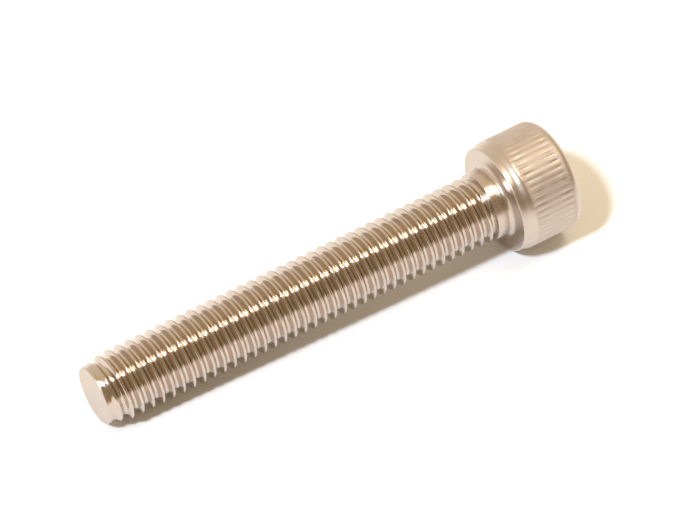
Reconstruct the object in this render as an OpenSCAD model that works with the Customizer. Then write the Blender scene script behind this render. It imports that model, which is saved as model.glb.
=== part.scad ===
// Hex socket cap screw, M8 x 1.25 x 50, knurled head, threaded up to a short collar.
// It lies on its side: +Z is up, the head points along +X, and the screw touches
// the floor with the edge of its head and the first full crest of its thread.
// Each module draws the screw's own frame: +Z along the axis towards the head, and
// the origin at the centre of the bearing face. lie_down() then puts it on the floor.

/* [Thread] */
// Nominal diameter of the thread
thread_d = 8; // [7.6:0.1:8.4]
// How far the crests stay under the nominal diameter
thread_play = 0.2; // [0.05:0.05:0.25]
// Advance of the thread in one turn
pitch = 1.25; // [1.2:0.05:1.5]
// Depth of the groove below the crests
thread_depth = 0.75; // [0.4:0.05:0.8]
// Width of the groove at its bottom
root_w = 0.2; // [0.15:0.05:0.25]
// Angle between the groove's two flanks
flank_angle = 60; // [50:5:60]
// Turns over which the groove rises out of the metal near the head
runout_turns = 0.25; // [0.25:0.25:1]

/* [Shank] */
// Length from the bearing face to the flat end
shank_l = 50; // [20:5:80]
// Diameter of the flat end
tip_d = 6.6; // [6.4:0.1:7.4]
// Length of the taper from the flat end to the full thread
tip_taper_l = 2.25; // [1:0.25:3]
// Diameter of the smooth collar under the head
collar_d = 8; // [7.9:0.1:8.4]
// Length of the collar, fillet included
collar_l = 1.9; // [1:0.1:4]
// Radius of the fillet between collar and bearing face
fillet_r = 0.55; // [0.2:0.05:0.8]

/* [Head] */
// Diameter of the head over the knurl's ridges
head_d = 12.9; // [12.7:0.1:13.3]
// Height of the head
head_h = 7.7; // [7.4:0.1:8.4]
// Diameter of the rim around the bearing face
rim_d = 12.4; // [12:0.1:12.6]
// Radius on that rim
rim_r = 0.2; // [0.1:0.05:0.4]
// Height at which the rim begins to flare
rim_h = 0.5; // [0.4:0.1:0.8]
// Height at which the head has its full diameter
flare_h = 1.5; // [1:0.1:2]
// Radius on the edge around the head's top
top_r = 1; // [0.5:0.1:1.4]

/* [Knurl] */
// Number of grooves around the head
knurl_count = 56; // [40:4:72]
// Depth of a groove
knurl_depth = 0.12; // [0.08:0.02:0.2]
// Width of a groove at the head's surface
knurl_w = 0.4; // [0.3:0.02:0.5]
// Height above the bearing face where the grooves begin, on the flare
knurl_from = 1; // [0.9:0.1:2.5]
// Height above the bearing face where they end
knurl_to = 6.5; // [4:0.1:6.5]

/* [Socket] */
// Hexagon's size across its flats
hex_af = 6; // [5:0.5:7]
// Depth of the hexagon's flats
hex_depth = 4.5; // [4.2:0.1:5]
// Full angle of the cone at the bottom of the socket
point_angle = 150; // [110:5:150]
// Width of the bevel around the socket's mouth, measured across the flats
mouth_bevel = 0.55; // [0.4:0.05:0.8]

/* [Hidden] */

round_fn = 96;                  // true curves: any value above 12
turn_steps = 24;                // flat steps in one turn of the groove
first_turn = 9.5 * 360 / turn_steps;    // where the groove starts; the half step turns a flat down
cut_clear = 0.05;               // how far a cutter stands out of the metal
crest_r = thread_d / 2 - thread_play / 2;
root_r = crest_r - thread_depth;
head_r = head_d / 2;
hex_corner_d = hex_af / cos(30);

// The groove starts a turn before the flat end and rises out of the metal at the collar,
// which neither its full width nor its narrow end may reach.
full_w = root_w + 2 * (thread_depth + cut_clear) * tan(flank_angle / 2);
end_gap = max(full_w / 2 - runout_turns * pitch, root_w / 2 + cut_clear);
groove_z0 = -shank_l - pitch;
groove_steps = floor((shank_l - collar_l + pitch - end_gap) / pitch * turn_steps);
runout_steps = runout_turns * turn_steps;

// Resting on the floor: the axis slopes from the first full crest underneath it up to
// the flare's edge, where a ridge of the knurl touches.
first_crest = pitch * (1 / 2 - first_turn / 360);
full_crest = first_crest + pitch * ceil((tip_taper_l - first_crest) / pitch);
rest_z = [-shank_l + full_crest, flare_h];
lie_angle = atan((head_r - crest_r) / (rest_z[1] - rest_z[0]));
axis_h = crest_r * cos(lie_angle) - rest_z[0] * sin(lie_angle);
top_reach = (head_h - top_r) * cos(lie_angle) + (head_r - top_r) * sin(lie_angle) + top_r;
tip_reach = shank_l * cos(lie_angle) + tip_d / 2 * sin(lie_angle);

// Turned form of the whole screw: half of its section, radius by height.
module half_section() {
    difference() {
        union() {
            polygon([[0, -shank_l], [tip_d / 2, -shank_l], [crest_r, -shank_l + tip_taper_l],
                [crest_r, -collar_l], [collar_d / 2, -collar_l], [collar_d / 2, -fillet_r],
                [collar_d / 2 + fillet_r, -fillet_r], [collar_d / 2 + fillet_r, 0],
                [rim_d / 2 - rim_r, 0], [rim_d / 2, rim_r], [rim_d / 2, rim_h], [head_r, flare_h],
                [head_r, head_h - top_r], [head_r - top_r, head_h], [0, head_h]]);
            translate([rim_d / 2 - rim_r, rim_r]) circle(r = rim_r, $fn = round_fn);
            translate([head_r - top_r, head_h - top_r]) circle(r = top_r, $fn = round_fn);
        }
        translate([collar_d / 2 + fillet_r, -fillet_r]) circle(r = fillet_r, $fn = round_fn);
    }
}

// Corners of the groove's section after i steps, from its bottom to just outside the crests.
function groove_section(i) = let(
    turn = first_turn + 360 * i / turn_steps,
    z = groove_z0 + pitch * i / turn_steps,
    rise = max(0, 1 - (groove_steps - i) / runout_steps) * thread_depth,
    out_w = root_w + 2 * (thread_depth + cut_clear - rise) * tan(flank_angle / 2),
    r = [root_r + rise, crest_r + cut_clear])
    [for (c = [[r[0], -root_w], [r[0], root_w], [r[1], out_w], [r[1], -out_w]])
        [c[0] * cos(turn), c[0] * sin(turn), z + c[1] / 2]];

// The thread's groove: a right-hand helix from past the flat end up to the collar.
module thread_groove() {
    last = 4 * groove_steps;
    polyhedron(
        points = [for (i = [0:groove_steps]) each groove_section(i)],
        faces = concat(
            [[0, 1, 2], [0, 2, 3]],
            [for (i = [0:groove_steps - 1], k = [0:3])
                let(a = 4 * i + k, b = 4 * i + (k + 1) % 4)
                each [[a, a + 4, b], [b, a + 4, b + 4]]],
            [[last + 2, last + 1, last], [last + 3, last + 2, last]]),
        convexity = 10);
}

// One groove of the knurl, at angle 0.
module knurl_groove() {
    w = knurl_w * (knurl_depth + cut_clear) / knurl_depth;
    translate([head_r, 0, knurl_from]) linear_extrude(knurl_to - knurl_from)
        polygon([[-knurl_depth, 0], [cut_clear, -w / 2], [cut_clear, w / 2]]);
}

// Hexagon socket, with a flat facing down: flats, the cone at its bottom and the bevel
// around its mouth.
module socket() {
    mouth_d = hex_af + 2 * mouth_bevel;
    translate([0, 0, head_h - hex_depth]) rotate([0, 0, 30])
        cylinder(d = hex_corner_d, h = hex_depth + cut_clear, $fn = 6);
    point_h = hex_af / 2 / tan(point_angle / 2);
    translate([0, 0, head_h - hex_depth - point_h])
        cylinder(d1 = 0, d2 = hex_af, h = point_h, $fn = round_fn);
    translate([0, 0, head_h - mouth_bevel])
        cylinder(d1 = hex_af, d2 = mouth_d + 2 * cut_clear, h = mouth_bevel + cut_clear, $fn = round_fn);
}

// From the screw's own frame to the floor, with the box centred over the origin.
module lie_down() {
    translate([(tip_reach - top_reach) / 2, 0, axis_h]) rotate([0, 90 - lie_angle, 0]) children();
}

module cap_screw() {
    color([0.78, 0.72, 0.66]) lie_down() difference() {
        rotate_extrude($fn = round_fn) half_section();
        thread_groove();
        for (k = [0:knurl_count - 1]) rotate([0, 0, 360 * (k + 0.5) / knurl_count]) knurl_groove();
        socket();
    }
}

cap_screw();
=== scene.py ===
import math

import bmesh
import bpy
from mathutils import Matrix, Vector, noise


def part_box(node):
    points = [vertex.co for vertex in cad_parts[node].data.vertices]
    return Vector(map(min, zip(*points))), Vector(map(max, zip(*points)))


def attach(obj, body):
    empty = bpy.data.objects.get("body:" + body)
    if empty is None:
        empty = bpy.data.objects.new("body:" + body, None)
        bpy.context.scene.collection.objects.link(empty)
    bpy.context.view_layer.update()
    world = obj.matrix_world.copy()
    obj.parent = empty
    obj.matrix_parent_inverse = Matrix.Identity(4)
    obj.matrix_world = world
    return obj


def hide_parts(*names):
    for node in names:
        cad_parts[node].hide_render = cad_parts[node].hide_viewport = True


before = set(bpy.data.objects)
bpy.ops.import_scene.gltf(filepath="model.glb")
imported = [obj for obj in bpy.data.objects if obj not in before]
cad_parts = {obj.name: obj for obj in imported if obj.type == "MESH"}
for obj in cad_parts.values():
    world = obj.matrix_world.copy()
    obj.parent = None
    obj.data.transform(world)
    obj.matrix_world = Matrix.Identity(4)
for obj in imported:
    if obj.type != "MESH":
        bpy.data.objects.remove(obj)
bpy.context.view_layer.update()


# ---------------------------------------------------------------------------
# Cap screw: one piece of plain stainless steel wire, headed cold, with its
# thread rolled on, its head knurled between rollers and its hexagon punched.
# It lies loose, on the edge of its head and on the first full crest of its thread.
# ---------------------------------------------------------------------------

# Sizes are in millimetres, in the screw's own frame: z runs along the axis towards the head
# from 0 at the bearing face, and x points down to the floor.
screw = bmesh.new()
SLACK = 0.01                    # points this close count as level, or as on the surface
SHORT = 0.03                    # width of the narrow faces that keep flat and round apart


def arc(centre_r, centre_z, radius, start, end, steps):
    """Points (r, z) along an arc; angles in degrees from the outward direction."""
    angles = [math.radians(start + (end - start) * i / steps) for i in range(steps + 1)]
    return [(centre_r + radius * math.cos(a), centre_z + radius * math.sin(a)) for a in angles]


def wire(bm, points):
    """A chain of edges through points (r, z) at angle 0."""
    verts = [bm.verts.new((r, 0, z)) for r, z in points]
    return verts + [bm.edges.new(pair) for pair in zip(verts, verts[1:])]


def repeat(bm, verts, move):
    """Adds a moved copy of the verts and the faces between them."""
    known = set(verts)
    faces = [f for f in bm.faces if f.verts[0] in known]
    copied = bmesh.ops.duplicate(bm, geom=list(verts) + faces)["geom"]
    new = [g for g in copied if isinstance(g, bmesh.types.BMVert)]
    bmesh.ops.transform(bm, matrix=move, verts=new)


# Thread: one rounded tooth, from root to root, is spun into a turn of a right-hand helix. The
# turn is copied up the shank, and cut off near the flat end and at the relief before the collar.
PITCH = 1.25
CREST_R = 3.9
CREST_ROUND = 0.16
ROOT_ROUND = 0.26
FLANK = math.radians(30)        # a flank's slope, half the groove's angle
TURN_STEPS = 64
CREST_UNDER = 0.13              # a crest passes straight below, this far from the flat end
SHANK_L = 50.0
TIP_EDGE = 0.1
COLLAR_L = 1.9
RELIEF_W = 0.18
WELD_TURNS = 0.002              # points closer than this become one where turns meet
WELD_CUTS = 0.004               # and the same along the two cuts

both_rounds = CREST_ROUND + ROOT_ROUND
flank_depth = (PITCH / 2 - both_rounds * math.cos(FLANK)) / math.tan(FLANK)
thread_depth = flank_depth + both_rounds * (1 - math.sin(FLANK))
root_r = CREST_R - thread_depth
flat_end = -SHANK_L
thread_end = -COLLAR_L - RELIEF_W
first_crest = flat_end + CREST_UNDER - PITCH    # the helix starts outside the flat end

lower_root = arc(root_r + ROOT_ROUND, -PITCH / 2, ROOT_ROUND, 180, 120, 4)
lower_crest = arc(CREST_R - CREST_ROUND, 0, CREST_ROUND, -60, 0, 4)
up_flank = Vector((math.cos(FLANK), math.sin(FLANK))) * SHORT
flank = [tuple(Vector(lower_root[-1]) + up_flank), tuple(Vector(lower_crest[0]) - up_flank)]
half_tooth = lower_root + flank + lower_crest
tooth = half_tooth + [(r, -z) for r, z in reversed(half_tooth[:-1])]
bmesh.ops.spin(screw, geom=wire(screw, [(r, z + first_crest) for r, z in tooth]),
               axis=(0, 0, 1), cent=(0, 0, 0), dvec=(0, 0, PITCH / TURN_STEPS),
               angle=math.tau, steps=TURN_STEPS, use_merge=False)
turns = 1                       # each copy doubles them
while first_crest + (turns - 1.5) * PITCH < thread_end:
    repeat(screw, screw.verts, Matrix.Translation((0, 0, turns * PITCH)))
    turns *= 2
bmesh.ops.remove_doubles(screw, verts=screw.verts, dist=WELD_TURNS)
for z, outside in ((flat_end + TIP_EDGE, -1), (thread_end, 1)):
    bmesh.ops.bisect_plane(screw, geom=screw.verts[:] + screw.edges[:] + screw.faces[:], dist=1e-4,
                           plane_co=(0, 0, z), plane_no=(0, 0, outside), clear_outer=True)
bmesh.ops.remove_doubles(screw, verts=screw.verts, dist=WELD_CUTS)

# The crests grow from the flat end's plain circle over the taper, and the last one runs out
# into the relief. Here and there a crest is worn or slightly dented.
TIP_R = 3.3
TIP_TAPER = 2.25
GROOVE_OPENS = 0.4              # length over which the groove reaches its depth at the flat end
RELIEF_R = 3.35
GROOVE_CLOSES = 0.2             # length over which it rises to the relief
CREST_FADES = 0.45              # length over which the last crest sinks into the relief
DENT_DEPTH = 0.04
DENTS_PER_MM = 1.5
DENT_FROM = 0.3                 # a crest is dented only where the noise is above this


def ease(t):
    """A smooth step from 0 to 1."""
    t = max(0.0, min(1.0, t))
    return t * t * (3 - 2 * t)


def set_radius(vert, radius):
    """The vert moves straight in or out to this distance from the axis."""
    k = radius / math.hypot(vert.co.x, vert.co.y)
    vert.co.x *= k
    vert.co.y *= k


for v in screw.verts:
    full = (math.hypot(v.co.x, v.co.y) - root_r) / thread_depth
    from_tip = v.co.z - flat_end - TIP_EDGE
    from_end = thread_end - v.co.z
    root = root_r + (TIP_R - root_r) * (1 - ease(from_tip / GROOVE_OPENS))
    root += (RELIEF_R - root_r) * (1 - ease(from_end / GROOVE_CLOSES))
    top = TIP_R + (CREST_R - TIP_R) * min(1, from_tip / TIP_TAPER)
    top = min(top, RELIEF_R + (CREST_R - RELIEF_R) * ease(from_end / CREST_FADES))
    dent = DENT_DEPTH * max(0, noise.noise(v.co * DENTS_PER_MM) - DENT_FROM)
    set_radius(v, root + (top - root) * full - dent * max(0, full) ** 4)


def rim_edges(bm, z):
    """The open edges that lie in the plane at height z."""
    return [e for e in bm.edges if e.is_boundary and all(abs(v.co.z - z) < SLACK for v in e.verts)]


def drawn_on(bm, ring):
    """A new ring of edges, drawn on from this one, and its verts."""
    drawn = bmesh.ops.extrude_edge_only(bm, edges=ring)["geom"]
    return ([g for g in drawn if isinstance(g, bmesh.types.BMEdge)],
            [g for g in drawn if isinstance(g, bmesh.types.BMVert)])


# Flat end: a small rounded edge and a flat face, closed at its middle.
FLAT_RING = 0.6                 # a ring across the flat face, as a share of the end's radius
flat_r = TIP_R - TIP_EDGE
ring = rim_edges(screw, flat_end + TIP_EDGE)
for r, z in arc(flat_r, flat_end + TIP_EDGE, TIP_EDGE, 0, -90, 4)[1:] + [
        (flat_r - SHORT, flat_end), (TIP_R * FLAT_RING, flat_end)]:
    ring, verts = drawn_on(screw, ring)
    for v in verts:
        v.co.z = z
        set_radius(v, r)
bmesh.ops.contextual_create(screw, geom=ring)

# The wire was cut a little askew, so the flat end stands out most at the lower back.
ASKEW_L = 0.8                   # length of the stretch that the cut pulled out
CUT_OUT = 0.24                  # how far the end's middle stands out
CUT_TILT = 0.12                 # how much further its outermost edge does
CUT_DOWN, CUT_BACK = 0.73, 0.68     # direction from the middle to that edge
for v in screw.verts:
    near = ease((flat_end + ASKEW_L - v.co.z) / ASKEW_L)
    v.co.z -= near * (CUT_OUT + CUT_TILT * (CUT_DOWN * v.co.x + CUT_BACK * v.co.y) / TIP_R)

# Collar, fillet, bearing face and head: half of their section, spun an eighth round and copied.
COLLAR_R = 4.0
COLLAR_EDGE = 0.06
JOIN_L = 0.02                   # short band of the relief that joins thread and collar
FILLET_R = 0.55
RIM_R = 6.2
RIM_EDGE = 0.2
RIM_H = 0.5
FLARE_TOP = 1.5
FLARE_STEPS = 10
HEAD_R = 6.45
HEAD_H = 7.7
TOP_ROUND = 1.0
TOP_RING_R = 4.6                # a ring about half way across the flat top
KNURLS = 56
KNURL_STEPS = 9                 # flat steps across one groove and ridge
KNURL_ROWS = 22
KNURL_FROM = 1.55
KNURL_TO = 6.75
MOUTH_R = 3.55
WELD_HEAD = 0.0008              # points closer than this become one on the head

outline = [(RELIEF_R, thread_end + JOIN_L), (RELIEF_R, -COLLAR_L - SHORT)]
outline += [(COLLAR_R - COLLAR_EDGE, -COLLAR_L)]
outline += arc(COLLAR_R - COLLAR_EDGE, -COLLAR_L + COLLAR_EDGE, COLLAR_EDGE, -90, 0, 3)[1:]
outline += [(COLLAR_R, SHORT + COLLAR_EDGE - COLLAR_L), (COLLAR_R, -FILLET_R - SHORT)]
outline += arc(COLLAR_R + FILLET_R, -FILLET_R, FILLET_R, 180, 90, 8)
outline += [(COLLAR_R + FILLET_R + SHORT, 0), (RIM_R - RIM_EDGE - SHORT, 0)]
outline += arc(RIM_R - RIM_EDGE, RIM_EDGE, RIM_EDGE, -90, 0, 6)
outline += [(RIM_R, RIM_EDGE + SHORT)]
outline += [(RIM_R + (HEAD_R - RIM_R) * ease(t / FLARE_STEPS),
             RIM_H + (FLARE_TOP - RIM_H) * t / FLARE_STEPS) for t in range(FLARE_STEPS + 1)]
outline += [(HEAD_R, KNURL_FROM + (KNURL_TO - KNURL_FROM) * t / KNURL_ROWS)
            for t in range(1, KNURL_ROWS)]
outline += arc(HEAD_R - TOP_ROUND, HEAD_H - TOP_ROUND, TOP_ROUND, 0, 90, 12)
outline += [(HEAD_R - TOP_ROUND - SHORT, HEAD_H), (TOP_RING_R, HEAD_H), (MOUTH_R, HEAD_H)]
shank_verts = set(screw.verts)
bmesh.ops.spin(screw, geom=wire(screw, outline), axis=(0, 0, 1), cent=(0, 0, 0),
               angle=math.tau / 8, steps=KNURLS * KNURL_STEPS // 8, use_merge=False)
for eighths in (1, 2, 4):
    head_verts = [v for v in screw.verts if v not in shank_verts]
    repeat(screw, head_verts, Matrix.Rotation(math.tau * eighths / 8, 4, "Z"))
head_verts = [v for v in screw.verts if v not in shank_verts]
bmesh.ops.remove_doubles(screw, verts=head_verts, dist=WELD_HEAD)
bmesh.ops.bridge_loops(screw, edges=rim_edges(screw, thread_end) + rim_edges(screw, thread_end + JOIN_L))

# Socket: the mouth's bevel runs down to the hexagon in six scallops, then the flats go to the
# shallow cone at its bottom. A flat faces down.
HEX_AF = 6.0
HEX_DEPTH = 4.5
LOW_BAND = 0.6                  # height of the lowest band of the flats
POINT_ANGLE = math.radians(150)
BLUNT = 0.95                    # share of the cone's depth at which its small flat lies
corner = math.radians(60)
deep = HEAD_H - HEX_DEPTH
point_l = HEX_AF / 2 / math.tan(POINT_ANGLE / 2)
ring = rim_edges(screw, HEAD_H)
for step in range(6):
    ring, verts = drawn_on(screw, ring)
    for v in verts:
        off = (math.atan2(v.co.y, v.co.x) + corner / 2) % corner - corner / 2
        hexagon = HEX_AF / 2 / math.cos(off)
        r, z = ((hexagon, HEAD_H - (MOUTH_R - hexagon)),
                (hexagon, deep + LOW_BAND),
                (hexagon, deep),
                (HEX_AF / 2, deep),
                (HEX_AF / 4, deep - point_l / 2),
                (HEX_AF / 2 * (1 - BLUNT), deep - point_l * BLUNT))[step]
        v.co.z = z
        set_radius(v, r)
bmesh.ops.contextual_create(screw, geom=ring)
bmesh.ops.remove_doubles(screw, verts=screw.verts, dist=WELD_HEAD)

# Knurl: shallow rolled grooves with pointed ends, pressed less in the middle of the head's side.
KNURL_DEPTH = 0.08
KNURL_POINT = 0.7
MIDDLE_LESS = 0.65              # share of the depth that the middle lacks
END_NARROW = 1.5                # how much a groove narrows in its pointed ends
for v in screw.verts:
    if KNURL_FROM < v.co.z < KNURL_TO and math.hypot(v.co.x, v.co.y) > HEAD_R - SLACK:
        wave = 0.5 - 0.5 * math.cos(KNURLS * math.atan2(v.co.y, v.co.x))
        end = ease(min(v.co.z - KNURL_FROM, KNURL_TO - v.co.z) / KNURL_POINT)
        middle = math.sin(math.pi * (v.co.z - KNURL_FROM) / (KNURL_TO - KNURL_FROM)) ** 2
        press = end * (1 - MIDDLE_LESS * middle) * wave ** (1 + END_NARROW * (1 - end))
        set_radius(v, HEAD_R - KNURL_DEPTH * press)

# How bright each surface was rubbed, from 0 for the dull ridges of the knurl to 1 for the
# rolled thread.
COLLAR_BRIGHT = 0.75
HEAD_BRIGHT = 0.6
FLAT_END_BRIGHT = 0.45
KNURL_BRIGHT = 0.5              # at the bottom of a groove
COLLAR_TOP = -0.2               # the collar's finish ends here, low in the fillet
bright = screw.verts.layers.float.new("bright")
for v in screw.verts:
    r, z = math.hypot(v.co.x, v.co.y), v.co.z
    if z < flat_end:
        v[bright] = FLAT_END_BRIGHT
    elif z < thread_end:
        v[bright] = 1
    elif z < COLLAR_TOP:
        v[bright] = COLLAR_BRIGHT
    elif KNURL_FROM < z < KNURL_TO and r > HEAD_R - 2 * KNURL_DEPTH:
        v[bright] = KNURL_BRIGHT * min(1, (HEAD_R - r) / KNURL_DEPTH)
    else:
        v[bright] = HEAD_BRIGHT

SHARP = math.radians(38)        # edges that turn more than this stay sharp
bmesh.ops.recalc_face_normals(screw, faces=screw.faces)
for face in screw.faces:
    face.smooth = True
for edge in screw.edges:
    edge.smooth = edge.calc_face_angle(0) < SHARP

# Laid down where the solid lies: turned about y by its slope, with its ends in the same places.
MM = 0.001
head_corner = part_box("cap_screw")[1]
full_crest = CREST_UNDER + 2 * PITCH
lie = math.atan((HEAD_R - CREST_R) / (SHANK_L - full_crest + FLARE_TOP))
axis_h = CREST_R * math.cos(lie) + (SHANK_L - full_crest) * math.sin(lie)
top_reach = (HEAD_H - TOP_ROUND) * math.cos(lie) + (HEAD_R - TOP_ROUND) * math.sin(lie) + TOP_ROUND
bearing = Vector((head_corner.x - top_reach * MM, 0, axis_h * MM))
slope = Matrix.Rotation(math.radians(90) - lie, 4, "Y")
bmesh.ops.transform(screw, matrix=Matrix.Translation(bearing) @ slope @ Matrix.Scale(MM, 4),
                    verts=screw.verts)

mesh = bpy.data.meshes.new("cap_screw_steel")
screw.to_mesh(mesh)
screw.free()
cap_screw = bpy.data.objects.new("socket_cap_screw", mesh)
bpy.context.scene.collection.objects.link(cap_screw)

# Steel: bright where the thread was rolled, a duller skin with fine grain on the collar and
# head, cloudy patches all over, and short scratches along the axis. Sizes are in metres.
GRAIN = 0.0002
PATCH = 0.0016
SCRATCH = 0.00007
SCRATCH_STRETCH = 14
DULL_ROUGH, BRIGHT_ROUGH = 0.62, 0.13
PATCH_FROM, PATCH_TO = 0.3, 0.7
PATCHY = 0.15                   # how much smoother or rougher a patch is
SCRATCH_FROM, SCRATCH_TO = 0.58, 0.72   # only the noise's highest streaks are scratches
SCRATCH_ROUGH = 0.10
STEEL_DARK = (0.56, 0.485, 0.435, 1)
STEEL_LIGHT = (0.61, 0.53, 0.475, 1)
DULL_GRAIN, BRIGHT_GRAIN = 1.0, 0.1
DULL_SCRATCHES, BRIGHT_SCRATCHES = 0.4, 0.0
BUMP = 0.25
BUMP_HEIGHT = 0.00002
steel = bpy.data.materials.new("stainless_steel")
steel.use_nodes = True
nodes, links = steel.node_tree.nodes, steel.node_tree.links
surface = nodes["Principled BSDF"]
surface.inputs["Metallic"].default_value = 1.0
where = nodes.new("ShaderNodeTexCoord")
rubbed = nodes.new("ShaderNodeAttribute")
rubbed.attribute_name = "bright"


def grain(size, stretch):
    """Noise with features of this size, stretched along the screw's axis."""
    turn = nodes.new("ShaderNodeMapping")
    turn.inputs["Rotation"].default_value = (0, lie, 0)
    turn.inputs["Scale"].default_value = (1 / (size * stretch), 1 / size, 1 / size)
    links.new(where.outputs["Object"], turn.inputs["Vector"])
    cloud = nodes.new("ShaderNodeTexNoise")
    cloud.inputs["Scale"].default_value = 1
    cloud.inputs["Detail"].default_value = 3
    links.new(turn.outputs[0], cloud.inputs["Vector"])
    return cloud.outputs["Fac"]


def spread(value, low, high, to_low, to_high):
    """A value mapped from one range to another."""
    span = nodes.new("ShaderNodeMapRange")
    for name, number in zip(("From Min", "From Max", "To Min", "To Max"), (low, high, to_low, to_high)):
        span.inputs[name].default_value = number
    links.new(value, span.inputs["Value"])
    return span.outputs[0]


def combine(operation, a, b):
    """Two values made into one by a step of arithmetic."""
    step = nodes.new("ShaderNodeMath")
    step.operation = operation
    links.new(a, step.inputs[0])
    links.new(b, step.inputs[1])
    return step.outputs[0]


def by_rubbing(when_dull, when_bright):
    """A value that follows how bright the surface was rubbed."""
    return spread(rubbed.outputs["Fac"], 0, 1, when_dull, when_bright)


fine = grain(GRAIN, 1)
patches = grain(PATCH, 1)
scratches = grain(SCRATCH, SCRATCH_STRETCH)
rough = by_rubbing(DULL_ROUGH, BRIGHT_ROUGH)
rough = combine("MULTIPLY", rough, spread(patches, PATCH_FROM, PATCH_TO, 1 - PATCHY, 1 + PATCHY))
rough = combine("ADD", rough, spread(scratches, SCRATCH_FROM, SCRATCH_TO, 0, SCRATCH_ROUGH))
links.new(rough, surface.inputs["Roughness"])
tint = nodes.new("ShaderNodeValToRGB")
dark_stop, light_stop = tint.color_ramp.elements
dark_stop.position, light_stop.position = PATCH_FROM, PATCH_TO
dark_stop.color, light_stop.color = STEEL_DARK, STEEL_LIGHT
links.new(patches, tint.inputs[0])
links.new(tint.outputs[0], surface.inputs["Base Color"])
bump = nodes.new("ShaderNodeBump")
bump.inputs["Strength"].default_value = BUMP
bump.inputs["Distance"].default_value = BUMP_HEIGHT
relief = combine("ADD", combine("MULTIPLY", fine, by_rubbing(DULL_GRAIN, BRIGHT_GRAIN)),
                 combine("MULTIPLY", scratches, by_rubbing(DULL_SCRATCHES, BRIGHT_SCRATCHES)))
links.new(relief, bump.inputs["Height"])
links.new(bump.outputs[0], surface.inputs["Normal"])
mesh.materials.append(steel)

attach(cap_screw, "root")
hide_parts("cap_screw")


# ---------------------------------------------------------------------------
# Table: a sheet of plain white paper, much larger than the view. It looks pure
# white where nothing shades it, and keeps the screw's shadow.
# ---------------------------------------------------------------------------
PAPER_HALF = 0.5
PAPER_WHITE = 0.92
paper_mesh = bpy.data.meshes.new("paper")
sheet = bmesh.new()
bmesh.ops.create_grid(sheet, x_segments=1, y_segments=1, size=PAPER_HALF)
sheet.to_mesh(paper_mesh)
sheet.free()
paper = bpy.data.objects.new("paper", paper_mesh)
bpy.context.scene.collection.objects.link(paper)

white = bpy.data.materials.new("white_paper")
white.use_nodes = True
paper_surface = white.node_tree.nodes["Principled BSDF"]
paper_surface.inputs["Base Color"].default_value = (PAPER_WHITE, PAPER_WHITE, PAPER_WHITE, 1)
paper_surface.inputs["Roughness"].default_value = 0.9
paper_surface.inputs["Specular IOR Level"].default_value = 0.0
paper_mesh.materials.append(white)


# ---------------------------------------------------------------------------
# Room light: pale low walls, a tan ceiling, a dim brown room on the camera's side
# and a lighter wall past the head. A wide warm lamp hangs over the head and a small
# cooler one over the tip. The camera itself sees plain white.
# ---------------------------------------------------------------------------
PALE_WALL = (0.95, 0.80, 0.66)
BROWN_ROOM = (0.36, 0.26, 0.14)
# Colours by degrees up from the horizon on the camera's side, over the top to the horizon behind.
ROOM = ((0, PALE_WALL), (5, PALE_WALL), (10, BROWN_ROOM), (55, BROWN_ROOM), (80, (0.42, 0.30, 0.16)),
        (109, (0.86, 0.70, 0.43)), (133, (0.93, 0.78, 0.57)), (180, (0.98, 0.85, 0.72)))
ROOM_LIGHT = 1.02
HEAD_WALL = (0.62, 0.49, 0.30, 1)
HEAD_WALL_FROM, HEAD_WALL_TO = 0.45, 0.58   # x of the directions where it begins and is full
room = bpy.data.worlds.new("room")
bpy.context.scene.world = room
room.use_nodes = True
nodes, links = room.node_tree.nodes, room.node_tree.links
nodes.clear()
toward = nodes.new("ShaderNodeTexCoord")
split = nodes.new("ShaderNodeSeparateXYZ")
links.new(toward.outputs["Generated"], split.inputs[0])
toward_camera = nodes.new("ShaderNodeMath")
toward_camera.operation = "MULTIPLY"
toward_camera.inputs[1].default_value = -1
links.new(split.outputs["Y"], toward_camera.inputs[0])
height_round = combine("ARCTAN2", split.outputs["Z"], toward_camera.outputs[0])
walls = nodes.new("ShaderNodeValToRGB")
links.new(spread(height_round, 0, math.pi, 0, 1), walls.inputs[0])
stops = walls.color_ramp.elements
for degrees, colour in ROOM[1:-1]:
    stops.new(degrees / 180)
for stop, (degrees, colour) in zip(stops, ROOM):
    stop.position = degrees / 180
    stop.color = (*colour, 1)
lit_side = nodes.new("ShaderNodeMixRGB")
lit_side.blend_type = "LIGHTEN"
lit_side.inputs[2].default_value = HEAD_WALL
links.new(spread(split.outputs["X"], HEAD_WALL_FROM, HEAD_WALL_TO, 0, 1), lit_side.inputs[0])
links.new(walls.outputs[0], lit_side.inputs[1])
shine = nodes.new("ShaderNodeBackground")
shine.inputs["Strength"].default_value = ROOM_LIGHT
links.new(lit_side.outputs[0], shine.inputs["Color"])
blank = nodes.new("ShaderNodeBackground")
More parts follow.
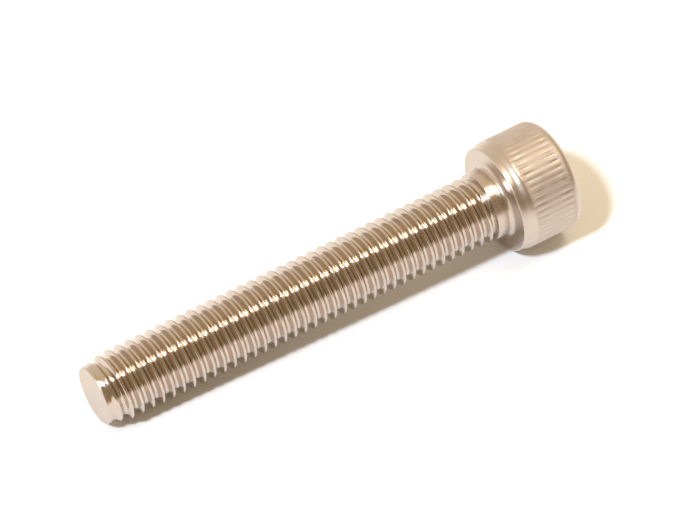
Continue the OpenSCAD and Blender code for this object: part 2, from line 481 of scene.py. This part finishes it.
blank.inputs["Color"].default_value = (1, 1, 1, 1)
seen = nodes.new("ShaderNodeLightPath")
either = nodes.new("ShaderNodeMixShader")
links.new(seen.outputs["Is Camera Ray"], either.inputs[0])
links.new(shine.outputs[0], either.inputs[1])
links.new(blank.outputs[0], either.inputs[2])
sky = nodes.new("ShaderNodeOutputWorld")
links.new(either.outputs[0], sky.inputs["Surface"])

LAMP_AWAY = 2.0
for name, way, width, power, colour in (
        ("head_lamp", (0.29, -0.083, 0.95), 0.77, 10.5, (1, 0.86, 0.68)),
        ("tip_lamp", (-0.565, -0.19, 0.81), 0.24, 39.0, (0.76, 0.85, 0.97))):
    lamp = bpy.data.lights.new(name, "AREA")
    lamp.shape = "DISK"
    lamp.size = width
    lamp.energy = power
    lamp.color = colour
    holder = bpy.data.objects.new(name, lamp)
    holder.location = Vector(way).normalized() * LAMP_AWAY
    holder.rotation_euler = (-holder.location).to_track_quat("-Z", "Y").to_euler()
    bpy.context.scene.collection.objects.link(holder)


# ---------------------------------------------------------------------------
# Camera: a long lens that looks down past the flat end towards the head. It aims
# at a point given in millimetres from the bearing face and above the floor.
# ---------------------------------------------------------------------------
LENS = 177.6
CAMERA_AWAY = 0.3665
CAMERA_ROUND = math.radians(31.2)
CAMERA_UP = math.radians(47.46)
AIM_TO_TIP = 18.39
AIM_BACK = 1.97
AIM_H = 6.4
aim = bearing + Vector((-AIM_TO_TIP, AIM_BACK, AIM_H - axis_h)) * MM
camera_data = bpy.data.cameras.new("camera")
camera_data.lens = LENS
camera_data.sensor_width = 36
camera_data.clip_start = 0.01
camera = bpy.data.objects.new("camera", camera_data)
back = Vector((-math.sin(CAMERA_ROUND) * math.cos(CAMERA_UP),
               -math.cos(CAMERA_ROUND) * math.cos(CAMERA_UP), math.sin(CAMERA_UP)))
camera.location = aim + back * CAMERA_AWAY
camera.rotation_euler = (-back).to_track_quat("-Z", "Y").to_euler()
bpy.context.scene.collection.objects.link(camera)
bpy.context.scene.camera = camera
bpy.context.scene.view_settings.view_transform = "Standard"
